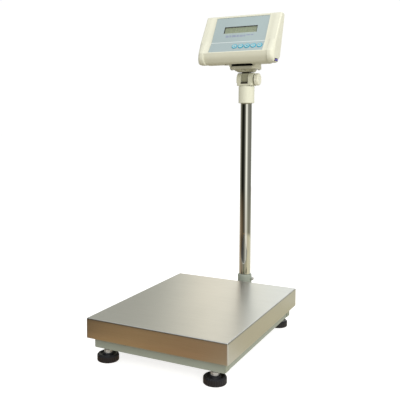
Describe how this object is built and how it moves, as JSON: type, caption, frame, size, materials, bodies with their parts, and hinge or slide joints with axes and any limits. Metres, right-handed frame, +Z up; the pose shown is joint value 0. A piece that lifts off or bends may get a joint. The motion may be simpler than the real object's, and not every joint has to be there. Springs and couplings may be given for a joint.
{
  "type": "bench scale",
  "caption": "Bench weighing scale: square-edged steel platter on a load cell frame with levelling feet, and a rear column carrying a swivelling, tilting indicator head.",
  "frame": {"origin": "centre of the whole object's footprint box, on the floor under the feet", "axes": "+Z up; the user stands on the -Y side, the column is on the +Y side; +X is the user's right"},
  "size_m": [0.3, 0.486, 0.72],
  "materials": {
    "platter_steel": "brushed stainless sheet, grain front to back",
    "frame_paint": "grey-green satin powder coat",
    "zinc": "zinc-plated steel",
    "chrome_tube": "polished stainless tube",
    "cell_aluminium": "milled aluminium",
    "silicone": "white potting silicone",
    "bumper_rubber": "black rubber",
    "foot_plastic": "moulded black plastic, satin",
    "black_plastic": "moulded black plastic",
    "case_plastic": "cream moulded plastic, fine texture",
    "knob_plastic": "grey-cream moulded plastic",
    "overlay_film": "blue-grey printed film",
    "key_film": "cyan printed film over a domed key",
    "window_clear": "clear plastic window",
    "lcd_glass": "grey-green reflective display",
    "circuit_board": "green solder mask",
    "battery_case": "grey moulded battery case",
    "brass": "machined brass",
    "nylon": "natural nylon",
    "level_fluid": "yellow-green level vial",
    "connector_metal": "nickel-plated shell",
    "rocker_plastic": "dark violet rocker",
    "cap_plastic": "grey-green moulded plastic, same colour as the frame"
  },
  "bodies": {
    "frame": {"base_frame": "frame_paint", "rail_end_caps": "cap_plastic", "foot_nuts": "zinc", "overload_stops": "zinc", "lower_spacer": "zinc", "load_cell": "cell_aluminium", "load_cell_potting": "silicone", "load_cell_gland": "black_plastic", "load_cell_bolts": "zinc", "upper_spacer": "zinc", "upper_frame": "frame_paint", "platter_bumpers": "bumper_rubber", "pole_socket": "frame_paint", "socket_bolts": "zinc", "pole_clamp_screw": "zinc", "level_housing": "black_plastic", "level_vial": "level_fluid", "pole": "chrome_tube", "pole_sleeve": "case_plastic", "sleeve_screw": "zinc", "swivel_washer": "nylon"},
    "platter": {"platter": "platter_steel", "platter_locating_studs": "zinc"},
    "yoke": {"tilt_yoke": "case_plastic", "swivel_screw": "zinc", "pivot_bolt": "zinc", "knob_washer": "black_plastic"},
    "knob": {"tilt_knob": "knob_plastic", "knob_insert": "brass"},
    "head": {"head_bracket": "case_plastic", "bracket_screws": "zinc", "case_front": "case_plastic", "case_rear": "case_plastic", "case_screws": "zinc", "overlay_panel": "overlay_film", "display_window": "window_clear", "lcd_module": "lcd_glass", "display_board": "circuit_board", "key_board": "circuit_board", "main_board": "circuit_board", "battery": "battery_case", "battery_cover": "case_plastic", "power_inlet": "black_plastic", "data_connector": "connector_metal", "power_switch": "black_plastic"},
    "rocker": {"power_rocker": "rocker_plastic"},
    "pad_front_left": {"foot_pad_front_left": "foot_plastic"},
    "stud_front_left": {"leveling_stud_front_left": "zinc"},
    "pad_front_right": {"foot_pad_front_right": "foot_plastic"},
    "stud_front_right": {"leveling_stud_front_right": "zinc"},
    "pad_rear_left": {"foot_pad_rear_left": "foot_plastic"},
    "stud_rear_left": {"leveling_stud_rear_left": "zinc"},
    "pad_rear_right": {"foot_pad_rear_right": "foot_plastic"},
    "stud_rear_right": {"leveling_stud_rear_right": "zinc"},
    "key_1": {"key_1": "key_film"},
    "key_2": {"key_2": "key_film"},
    "key_3": {"key_3": "key_film"},
    "key_4": {"key_4": "key_film"},
    "key_5": {"key_5": "key_film"}
  },
  "joints": [
    {"name": "platter_lift", "type": "slide", "parent": "frame", "child": "platter", "axis": [0, 0, 1], "range_m": [0, 0.08]},
    {"name": "foot_front_left_height", "type": "slide", "parent": "frame", "child": "pad_front_left", "axis": [0, 0, 1], "range_m": [-0.012, 0.003]},
    {"name": "foot_front_left_turn", "type": "hinge", "parent": "pad_front_left", "child": "stud_front_left", "pos_m": [-0.115, -0.21925, 0.01], "axis": [0, 0, 1], "range_deg": [-2880, 720]},
    {"name": "foot_front_right_height", "type": "slide", "parent": "frame", "child": "pad_front_right", "axis": [0, 0, 1], "range_m": [-0.012, 0.003]},
    {"name": "foot_front_right_turn", "type": "hinge", "parent": "pad_front_right", "child": "stud_front_right", "pos_m": [0.115, -0.21925, 0.01], "axis": [0, 0, 1], "range_deg": [-2880, 720]},
    {"name": "foot_rear_left_height", "type": "slide", "parent": "frame", "child": "pad_rear_left", "axis": [0, 0, 1], "range_m": [-0.012, 0.003]},
    {"name": "foot_rear_left_turn", "type": "hinge", "parent": "pad_rear_left", "child": "stud_rear_left", "pos_m": [-0.115, 0.13325, 0.01], "axis": [0, 0, 1], "range_deg": [-2880, 720]},
    {"name": "foot_rear_right_height", "type": "slide", "parent": "frame", "child": "pad_rear_right", "axis": [0, 0, 1], "range_m": [-0.012, 0.003]},
    {"name": "foot_rear_right_turn", "type": "hinge", "parent": "pad_rear_right", "child": "stud_rear_right", "pos_m": [0.115, 0.13325, 0.01], "axis": [0, 0, 1], "range_deg": [-2880, 720]},
    {"name": "head_swivel", "type": "hinge", "parent": "frame", "child": "yoke", "pos_m": [0, 0.2195, 0.552], "axis": [0, 0, 1], "range_deg": [-90, 90]},
    {"name": "head_tilt", "type": "hinge", "parent": "yoke", "child": "head", "pos_m": [0, 0.2195, 0.568], "axis": [1, 0, 0], "range_deg": [-25, 20]},
    {"name": "knob_turn", "type": "hinge", "parent": "yoke", "child": "knob", "pos_m": [0.026, 0.2195, 0.568], "axis": [1, 0, 0], "continuous": true},
    {"name": "key_1_press", "type": "slide", "parent": "head", "child": "key_1", "axis": [0, 0.7716, -0.6361], "range_m": [0, 0.0005], "stiffness_N_per_m": 2000},
    {"name": "key_2_press", "type": "slide", "parent": "head", "child": "key_2", "axis": [0, 0.7716, -0.6361], "range_m": [0, 0.0005], "stiffness_N_per_m": 2000},
    {"name": "key_3_press", "type": "slide", "parent": "head", "child": "key_3", "axis": [0, 0.7716, -0.6361], "range_m": [0, 0.0005], "stiffness_N_per_m": 2000},
    {"name": "key_4_press", "type": "slide", "parent": "head", "child": "key_4", "axis": [0, 0.7716, -0.6361], "range_m": [0, 0.0005], "stiffness_N_per_m": 2000},
    {"name": "key_5_press", "type": "slide", "parent": "head", "child": "key_5", "axis": [0, 0.7716, -0.6361], "range_m": [0, 0.0005], "stiffness_N_per_m": 2000},
    {"name": "power_rocker_rock", "type": "hinge", "parent": "head", "child": "rocker", "pos_m": [0.0932, 0.157, 0.607], "axis": [0, 0, 1], "range_deg": [0, 14]}
  ],
  "couplings": [
    {"joint": "foot_front_left_turn", "follows": "foot_front_left_height", "rad_per_m": 4188.8},
    {"joint": "foot_front_right_turn", "follows": "foot_front_right_height", "rad_per_m": 4188.8},
    {"joint": "foot_rear_left_turn", "follows": "foot_rear_left_height", "rad_per_m": 4188.8},
    {"joint": "foot_rear_right_turn", "follows": "foot_rear_right_height", "rad_per_m": 4188.8}
  ]
}
